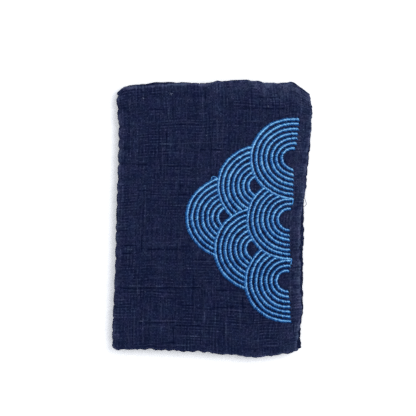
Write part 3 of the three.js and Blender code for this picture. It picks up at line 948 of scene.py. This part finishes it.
def slub_yarns():
    rng = np.random.default_rng(4711)
    tubes = Tubes(SLUBS["around"])
    number = 0
    spans = []  # along the weft?, place across, start, end, thickness, how pale
    for n in range(SLUBS["weft"]):
        long = 5.0 + rng.exponential(11.0)
        spans.append((True, rng.uniform(4, 246), rng.uniform(6, 164), min(long, 60), rng.uniform(0.2, 0.36), rng.uniform(0.35, 0.95)))
    for n in range(SLUBS["warp"]):
        long = 5.0 + rng.exponential(13.0)
        spans.append((False, rng.uniform(9, 164), rng.uniform(6, 240), min(long, 60), rng.uniform(0.18, 0.32), rng.uniform(0.35, 0.9)))
    for weft, across, middle, long, thick, pale in spans:
        m = max(5, int(long / SLUBS["step"]))
        run = middle + (np.linspace(0, 1, m) - 0.5) * long
        off = across + 0.5 * noise(run / 14.0, number * 1.7, 92)
        d, h = (run, off) if weft else (off, run)
        if d.min() < 3 or d.max() > 166 or h.min() < 3 or h.max() > 247:
            continue
        p, _n = on_top(d, h)
        if (line_distance(p[:, 0], p[:, 1]) < 3.0).any():
            continue
        path, radius = slub_path(d, h, thick, number)
        tubes.add(path, radius, pale * (0.85 + 0.3 * noise(run / 3.0, number * 1.3, 93)), number)
        number += 1
    # the longest ones lie on the listed ridges
    for rows, across_key, weft in ((WEFT_RIDGES, "y", True), (WARP_RIDGES, "x", False)):
        for q in rows:
            at = q["start"] + 2.0
            while q["height"] > 0 and at < q["end"] - 8:
                long = min(rng.uniform(9, 30), q["end"] - at)
                m = max(5, int(long / SLUBS["step"]))
                run = np.linspace(at, at + long, m)
                off = q[across_key] + 0.45 * noise(run / 14.0, number * 1.7, 92)
                x, y = (run, off) if weft else (off, run)
                x, y = x + SHIFT[0], y + SHIFT[1]
                d, h = place_under(x, y)
                if d.min() > 3 and d.max() < 166 and not (line_distance(x, y) < 3.0).any():
                    path, radius = slub_path(d, h, rng.uniform(0.26, 0.38), number)
                    tubes.add(path, radius, rng.uniform(0.5, 1.0) * (0.85 + 0.3 * noise(run / 3.0, number * 1.3, 93)), number)
                number += 1
                at += long + rng.uniform(3, 14)
    return tubes.mesh("slub_yarns")


def loose_fibres():
    rng = np.random.default_rng(815)
    tubes = Tubes(5)
    for n, q in enumerate(TUFTS):
        for k in range(q["fibres"]):
            turn = rng.uniform(0, 2 * math.pi)
            curl = rng.uniform(-1.2, 1.2)
            long = q["length"] * rng.uniform(0.6, 1.1)
            f = np.linspace(-0.5, 0.5, 8)
            x = q["x"] + long * f * np.cos(turn + curl * f) + rng.uniform(-0.35, 0.35)
            y = q["y"] + long * f * np.sin(turn + curl * f) + rng.uniform(-0.35, 0.35)
            p, nrm = over(x, y)
            lift = 0.12 + rng.uniform(0.2, 0.8) * (1 - (2 * f) ** 2)
            tubes.add(p + nrm * lift[:, None], 0.24 * (1 - 0.6 * (2 * f) ** 2), 0.8 + 1.1 * q["pale"], 300 + n * 9 + k)
    # a loose end of yarn that has come out of the hemmed edge and lies beside it
    turn = np.linspace(0, 1, 18)
    bend = np.array([[84.4, 22.4, 9.6], [86.2, 19.0, 9.2], [87.3, 16.0, 8.6], [88.1, 13.4, 8.0], [86.9, 11.8, 7.9], [85.2, 10.5, 8.1], [83.2, 9.2, 8.6]])
    at = np.linspace(0, len(bend) - 1, 18)
    table = dict(k=np.arange(len(bend)), x=bend[:, 0], y=bend[:, 1], z=bend[:, 2])
    path = np.stack([along(table, "k", c, at) for c in "xyz"], -1)
    tubes.add(path, 0.28 - 0.08 * turn, 0.4, 500)
    return tubes.mesh("loose_fibres")


def thread_tail():
    """The end of an embroidery thread, a small loop beside the outermost line, and where it steps from line to line."""
    tubes = Tubes(7)
    loops = [
        ([[4.9, 37.3, 0.6], [4.1, 38.1, 1.0], [2.7, 38.8, 1.3], [1.3, 39.0, 1.3], [0.2, 38.5, 1.2], [-0.4, 37.4, 1.0], [-0.7, 36.4, 0.8], [-0.7, 35.2, 0.4]], 0.36, 0.66),
        ([[4.1, 37.2, 0.4], [2.7, 37.9, 0.6], [1.4, 37.9, 0.6], [0.5, 37.2, 0.6], [0.2, 35.9, 0.4]], 0.55, 0.16),
        ([[75.2, 18.4, 0.9], [75.3, 17.0, 1.0], [75.1, 15.2, 0.9], [74.6, 13.0, 0.9]], 0.6, 0.58),
        ([[73.8, -37.0, 0.9], [74.0, -38.4, 1.0], [73.8, -40.2, 1.0], [73.2, -42.6, 0.8]], 0.6, 0.55),
    ]
    for n, (flat, radius, tone) in enumerate(loops):
        flat = np.array(flat)
        at = np.linspace(0, len(flat) - 1, 26)
        table = dict(k=np.arange(len(flat)), x=flat[:, 0], y=flat[:, 1], z=flat[:, 2])
        x, y, z = (along(table, "k", c, at) for c in "xyz")
        p, nrm = over(x, y)
        tubes.add(p + nrm * z[:, None], radius, tone + 0.12 * np.sin(at * 3.0), 3 + n)
    return tubes.mesh("embroidery_tail")


slubs, fibres, tail = slub_yarns(), loose_fibres(), thread_tail()


# ---------------------------------------------------------------------------------------------------
# Materials
# ---------------------------------------------------------------------------------------------------
# indigo from the darkest yarn to the palest: how pale, and its colour
INDIGO = [
    (-0.3, (0.0017, 0.0034, 0.0170)),
    (0.0, (0.0030, 0.0053, 0.0220)),
    (0.25, (0.0043, 0.0069, 0.0261)),
    (0.5, (0.0078, 0.0116, 0.0357)),
    (0.75, (0.0138, 0.0190, 0.0493)),
    (1.0, (0.0214, 0.0282, 0.0654)),
    (1.4, (0.0427, 0.0541, 0.1049)),
]


class Nodes:
    """A material's node tree, with short calls for the nodes used here."""

    def __init__(self, name):
        self.material = bpy.data.materials.new(name)
        self.material.use_nodes = True
        self.tree = self.material.node_tree
        self.tree.nodes.clear()
        self.out = self.tree.nodes.new("ShaderNodeOutputMaterial")
        self.bsdf = self.tree.nodes.new("ShaderNodeBsdfPrincipled")
        self.tree.links.new(self.bsdf.outputs[0], self.out.inputs[0])

    def new(self, kind, **props):
        node = self.tree.nodes.new(kind)
        for k, v in props.items():
            setattr(node, k, v)
        return node

    def put(self, socket, value):
        if isinstance(value, bpy.types.NodeSocket):
            self.tree.links.new(value, socket)
        else:
            socket.default_value = value

    def math(self, op, a, b=0.0, c=0.0, clamp=False):
        node = self.new("ShaderNodeMath", operation=op, use_clamp=clamp)
        for socket, value in zip(node.inputs, (a, b, c)):
            self.put(socket, value)
        return node.outputs[0]

    def vector(self, x, y, z=0.0):
        node = self.new("ShaderNodeCombineXYZ")
        for socket, value in zip(node.inputs, (x, y, z)):
            self.put(socket, value)
        return node.outputs[0]

    def noise(self, vector, scale=1.0, detail=2.0, rough=0.5):
        node = self.new("ShaderNodeTexNoise", noise_dimensions="3D")
        self.put(node.inputs["Vector"], vector)
        node.inputs["Scale"].default_value = scale
        node.inputs["Detail"].default_value = detail
        node.inputs["Roughness"].default_value = rough
        return node.outputs[0]

    def white(self, vector):
        node = self.new("ShaderNodeTexWhiteNoise", noise_dimensions="3D")
        self.put(node.inputs["Vector"], vector)
        return node.outputs[0]

    def ramp(self, value, stops):
        node = self.new("ShaderNodeValToRGB")
        self.put(node.inputs[0], value)
        while len(node.color_ramp.elements) < len(stops):
            node.color_ramp.elements.new(1.0)
        for element, (at, colour) in zip(node.color_ramp.elements, stops):
            element.position = at
            element.color = (*colour, 1.0)
        return node.outputs[0]

    def blend(self, kind, factor, a, b):
        node = self.new("ShaderNodeMix", data_type="RGBA", blend_type=kind)
        self.put(node.inputs[0], factor)
        self.put(node.inputs[6], a)
        self.put(node.inputs[7], b)
        return node.outputs[2]

    def bump(self, height, strength, distance):
        node = self.new("ShaderNodeBump")
        node.inputs["Strength"].default_value = strength
        node.inputs["Distance"].default_value = distance
        self.put(node.inputs["Height"], height)
        return node.outputs[0]


def gauze_material():
    m = Nodes("indigo_gauze")
    flat = m.new("ShaderNodeUVMap", uv_map="cloth").outputs[0]
    dye_and_painted_light = m.new("ShaderNodeAttribute", attribute_name="dye_and_painted_light").outputs["Fac"]
    split = m.new("ShaderNodeSeparateXYZ")
    m.put(split.inputs[0], flat)
    u, v = split.outputs[0], split.outputs[1]
    times = lambda a, b: m.math("MULTIPLY", a, b)
    plus = lambda a, b: m.math("ADD", a, b)
    about = lambda a, k: m.math("MULTIPLY_ADD", a, k, -0.5 * k)  # k times how far a is from a half
    value = lambda name: m.new("ShaderNodeAttribute", attribute_name=name).outputs["Fac"]
    field = lambda su, sv, seed, detail=2.0, rough=0.5: m.noise(m.vector(times(u, su), times(v, sv), seed), 1.0, detail, rough)
    # yarns wander: each coordinate is bent a little by slow noise, and the pitch is uneven
    wander_u = plus(plus(about(field(0.05, 0.03, 1.0, 3.0), 2.2), about(field(0.3, 0.012, 13.0, 1.0), 1.6)), u)
    wander_v = plus(about(field(0.014, 0.28, 7.0, 1.0), 1.5), value("weft_at"))
    yarn = {}
    for name, over, run, pitch, seed in (("weft", wander_v, u, WEFT_RIB / 2, 3.0), ("warp", wander_u, v, 1.25, 9.0)):
        count = m.math("DIVIDE", over, pitch)
        number = m.math("FLOOR", count)
        place = m.math("FRACT", count)
        # one yarn: how thick and how pale it is changes along it, in slubs some centimetres long
        own = m.white(m.vector(number, seed, 0.5))
        slub = m.noise(m.vector(times(run, 0.035), times(number, 7.31), seed), 1.0, 2.0, 0.6)
        fleck = m.noise(m.vector(times(run, 0.5), times(number, 3.17), seed + 2.0), 1.0, 2.0, 0.6)
        body = plus(about(own, 0.3), plus(about(slub, 0.42 if name == "weft" else 0.85), about(fleck, 1.62)))
        if name == "warp":  # bands of warp yarns from the same dye bath
            body = plus(body, about(field(0.16, 0.005, 41.0), 0.28))
            body = plus(body, about(field(0.3, 0.008, 43.0), 0.24))
        yarn[name] = (number, m.math("SINE", times(place, math.pi)), body, count)
    # plain weave: the yarn that lies on top changes from crossing to crossing
    parity = m.math("PINGPONG", plus(yarn["weft"][0], yarn["warp"][0]), 1.0)
    weft_top = times(yarn["weft"][1], m.math("MULTIPLY_ADD", parity, 0.5, 0.5))
    warp_top = times(yarn["warp"][1], m.math("MULTIPLY_ADD", parity, -0.5, 1.0))
    weft_tone = m.math("MULTIPLY_ADD", weft_top, 0.3, yarn["weft"][2])
    warp_tone = m.math("MULTIPLY_ADD", warp_top, 0.3, yarn["warp"][2])
    height = m.math("MAXIMUM", m.math("MULTIPLY_ADD", yarn["weft"][2], 0.5, weft_top), m.math("MULTIPLY_ADD", yarn["warp"][2], 0.5, warp_top))
    front = m.math("GREATER_THAN", weft_top, warp_top)
    weave = m.new("ShaderNodeMix", data_type="FLOAT")
    m.put(weave.inputs[0], front)
    m.put(weave.inputs[2], warp_tone)
    m.put(weave.inputs[3], weft_tone)
    # ribs two yarns wide, where the gauze has drawn together
    broken = m.math("MULTIPLY_ADD", field(0.13, 0.37, 51.0, 1.0), 2.4, -0.7)
    rib = times(times(m.math("SUBTRACT", m.math("SINE", times(yarn["weft"][3], math.pi)), 0.3), broken), times(value("crinkled"), 0.3))
    # and a finer comb of drawn-up warp yarns in patches
    combed = m.math("MULTIPLY_ADD", field(0.09, 0.05, 57.0, 1.0), 3.0, -1.35, clamp=True)
    comb = times(m.math("SUBTRACT", m.math("SINE", times(wander_u, 2 * math.pi / 3)), 0.3), times(combed, 0.27))
    # each crossing of two yarns takes the dye a little differently; then broad unevenness of the dye, and fuzz
    crossing = m.white(m.vector(yarn["weft"][0], yarn["warp"][0], 4.5))
    cloudy = field(0.028, 0.028, 2.0, 3.0, 0.55)
    hue = field(0.09, 0.09, 21.0)
    fuzz = plus(about(field(0.8, 0.8, 31.0, 2.0, 0.6), 0.35), about(field(0.38, 0.1, 35.0), 0.18))
    tone = plus(plus(weave.outputs[0], plus(rib, comb)), plus(about(crossing, 0.36), plus(about(cloudy, 0.06), fuzz)))
    # slubs and creases, as thin as a yarn: paler along the slubs, painted shade along the creases, which count 2.4
    # times
    for n in range(len(DRAWN)):
        off, strong = value("off_line_%d" % n), value("strong_%d" % n)
        thin = m.math("EXPONENT", times(times(off, off), -1 / 0.52**2))
        gain = m.math("MULTIPLY_ADD", m.math("LESS_THAN", strong, 0.0), 1.4, 1.0)
        tone = plus(tone, times(thin, times(strong, gain)))
    tone = plus(tone, m.math("MULTIPLY_ADD", dye_and_painted_light, 1.0, 0.305))
    low, span = INDIGO[0][0], INDIGO[-1][0] - INDIGO[0][0]
    dark = m.ramp(m.math("DIVIDE", m.math("SUBTRACT", tone, low), span), [((at - low) / span, colour) for at, colour in INDIGO])
    tinted = m.ramp(hue, [(0.34, (0.935, 1.035, 0.985)), (0.66, (1.12, 0.965, 1.0))])
    bluer = m.ramp(field(0.1, 0.08, 25.0), [(0.32, (1.0, 1.0, 0.93)), (0.68, (1.0, 1.0, 1.06))])
    m.put(m.bsdf.inputs["Base Color"], m.blend("MULTIPLY", 1.0, m.blend("MULTIPLY", 1.0, dark, tinted), bluer))
    m.bsdf.inputs["Roughness"].default_value = 0.95
    m.bsdf.inputs["Specular IOR Level"].default_value = 0.02
    m.bsdf.inputs["Sheen Weight"].default_value = 0.01
    m.bsdf.inputs["Sheen Roughness"].default_value = 0.5
    m.bsdf.inputs["Sheen Tint"].default_value = (0.6, 0.65, 1.0, 1.0)
    m.put(m.bsdf.inputs["Normal"], m.bump(height, 1.0, 0.0004))
    return m.material


def thread_material():
    m = Nodes("azure_thread")
    tone = m.new("ShaderNodeAttribute", attribute_name="tone").outputs["Fac"]
    flat = m.new("ShaderNodeUVMap", uv_map="cloth").outputs[0]
    split = m.new("ShaderNodeSeparateXYZ")
    m.put(split.inputs[0], flat)
    strand = m.noise(m.vector(m.math("MULTIPLY", split.outputs[0], 1.5), m.math("MULTIPLY", split.outputs[1], 7.0)), 1.0, 2.0, 0.6)
    # painted highlight: a pale strand runs along the arch of the stitches, moved over to the flank that faces the light
    facing = m.new("ShaderNodeAttribute", attribute_name="facing").outputs["Fac"]
    across = m.math("MULTIPLY_ADD", split.outputs[0], 2.0, -1.0)
    off = m.math("MULTIPLY_ADD", facing, -0.42, across)
    pale = m.math("EXPONENT", m.math("MULTIPLY", m.math("MULTIPLY", off, off), -1 / 0.22**2))
    pale = m.math("MULTIPLY", pale, m.math("MULTIPLY_ADD", m.math("MULTIPLY", facing, facing), -0.15, 0.64))
    mixed = m.math("MULTIPLY_ADD", strand, 0.45, m.math("ADD", pale, m.math("SUBTRACT", tone, 0.225)))
    colour = m.ramp(mixed, [(0.0, (0.0026, 0.0163, 0.083)), (0.25, (0.0083, 0.0545, 0.198)), (0.5, (0.024, 0.115, 0.315)), (0.75, (0.078, 0.240, 0.465)), (1.0, (0.200, 0.440, 0.640))])
    # painted shade: the flank turned from the light is a purer blue; and no two stitches took the dye alike
    took = m.noise(m.vector(m.math("MULTIPLY", split.outputs[0], 0.8), m.math("MULTIPLY", split.outputs[1], 0.6), 5.0), 1.0, 1.0)
    flank_shade_and_dye_tint = m.math("MULTIPLY_ADD", m.math("MULTIPLY", across, facing), 0.3, took)
    tinted = m.ramp(flank_shade_and_dye_tint, [(0.1, (0.62, 0.985, 1.04)), (0.9, (1.36, 1.01, 0.97))])
    m.put(m.bsdf.inputs["Base Color"], m.blend("MULTIPLY", 1.0, colour, tinted))
    # dyed, glossy floss: part of what it reflects is a sheen in its own colour
    m.bsdf.inputs["Metallic"].default_value = 0.4
    m.bsdf.inputs["Roughness"].default_value = 0.42
    m.bsdf.inputs["Specular IOR Level"].default_value = 0.08
    m.bsdf.inputs["Sheen Weight"].default_value = 0.0
    m.put(m.bsdf.inputs["Normal"], m.bump(strand, 0.5, 0.0001))
    return m.material


def yarn_material():
    m = Nodes("indigo_yarn")
    tone = m.new("ShaderNodeAttribute", attribute_name="tone").outputs["Fac"]
    flat = m.new("ShaderNodeUVMap", uv_map="cloth").outputs[0]
    split = m.new("ShaderNodeSeparateXYZ")
    m.put(split.inputs[0], flat)
    # fibres twisted round the yarn
    twist = m.math("MULTIPLY_ADD", split.outputs[0], 0.9, split.outputs[1])
    strand = m.noise(m.vector(m.math("MULTIPLY", twist, 5.0), m.math("MULTIPLY", split.outputs[0], 0.8)), 1.0, 2.0, 0.6)
    shade = m.math("MULTIPLY_ADD", strand, 0.5, m.math("MULTIPLY_ADD", tone, 0.7, -0.02))
    stops = INDIGO[1:] + [(2.0, (0.125, 0.145, 0.215))]
    m.put(m.bsdf.inputs["Base Color"], m.ramp(m.math("DIVIDE", shade, 2.0), [(at / 2.0, colour) for at, colour in stops]))
    m.bsdf.inputs["Roughness"].default_value = 0.9
    m.bsdf.inputs["Specular IOR Level"].default_value = 0.05
    m.put(m.bsdf.inputs["Normal"], m.bump(strand, 0.6, 0.0001))
    return m.material


gauze, thread, yarn_finish = gauze_material(), thread_material(), yarn_material()
for piece, finish in ((towel, gauze), (stitches, thread), (tail, thread), (slubs, yarn_finish), (fibres, yarn_finish)):
    piece.data.materials.append(finish)

# ---------------------------------------------------------------------------------------------------
# The frame: what each piece rides on
# ---------------------------------------------------------------------------------------------------
for piece, finish in ((towel, "gauze"), (slubs, "gauze"), (fibres, "gauze"), (stitches, "stitching"), (tail, "stitching")):
    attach(piece, "root")
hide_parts("towel")

# ---------------------------------------------------------------------------------------------------
# Studio: pale floor, soft light from the upper right, camera straight above
# ---------------------------------------------------------------------------------------------------
floor = new_mesh("floor", [(-6000, -6000, 0), (6000, -6000, 0), (6000, 6000, 0), (-6000, 6000, 0)], [[0, 1, 2, 3]], smooth=False)
floor.location.z = -0.0002
white = Nodes("white_floor")
speck = white.noise(white.new("ShaderNodeTexCoord").outputs["Object"], 30.0, 2.0)
white.put(white.bsdf.inputs["Base Color"], white.ramp(speck, [(0.0, (0.86, 0.86, 0.86)), (1.0, (0.88, 0.88, 0.88))]))
white.bsdf.inputs["Roughness"].default_value = 0.9
white.bsdf.inputs["Specular IOR Level"].default_value = 0.1
floor.data.materials.append(white.material)
floor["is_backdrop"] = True

world = bpy.data.worlds.new("studio")
bpy.context.scene.world = world
world.use_nodes = True
world.node_tree.nodes["Background"].inputs["Color"].default_value = (0.97, 1.0, 1.055, 1.0)
world.node_tree.nodes["Background"].inputs["Strength"].default_value = 1.12


def lamp(name, place, aim, size, watts):
    light = bpy.data.lights.new(name, "AREA")
    light.shape = "DISK"
    light.size = size
    light.energy = watts
    obj = bpy.data.objects.new(name, light)
    bpy.context.scene.collection.objects.link(obj)
    obj.location = place
    direction = np.array(aim, float) - np.array(place, float)
    obj.rotation_euler = (
        0.0,
        math.acos(-direction[2] / np.linalg.norm(direction)),
        math.atan2(-direction[1], -direction[0]),
    )
    return obj


lamp("key", (1.223, 0.544, 1.486), (0.0, 0.0, 0.0), 1.5, 26.6)

# the photograph's frame: 0.935 mm of the towel for each of its 416 pixels
FRAME_PX, PX, DISTANCE = 416, 0.935, 1200.0
camera = bpy.data.objects.new("camera", bpy.data.cameras.new("camera"))
camera.data.sensor_width = 36.0
camera.data.lens = 36.0 * (DISTANCE - 4.5) / (FRAME_PX * PX)
camera.location = (-3.64 * MM, 9.7 * MM, DISTANCE * MM)
camera.data.clip_end = 50.0
bpy.context.scene.collection.objects.link(camera)
bpy.context.scene.camera = camera
bpy.context.scene.view_settings.view_transform = "Standard"
bpy.context.scene.cycles.use_denoising = False  # the weave is about as fine as a pixel

low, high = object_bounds()
{"cad": [list(CAD_LOW), list(CAD_HIGH)], "visual": [list(low), list(high)]}
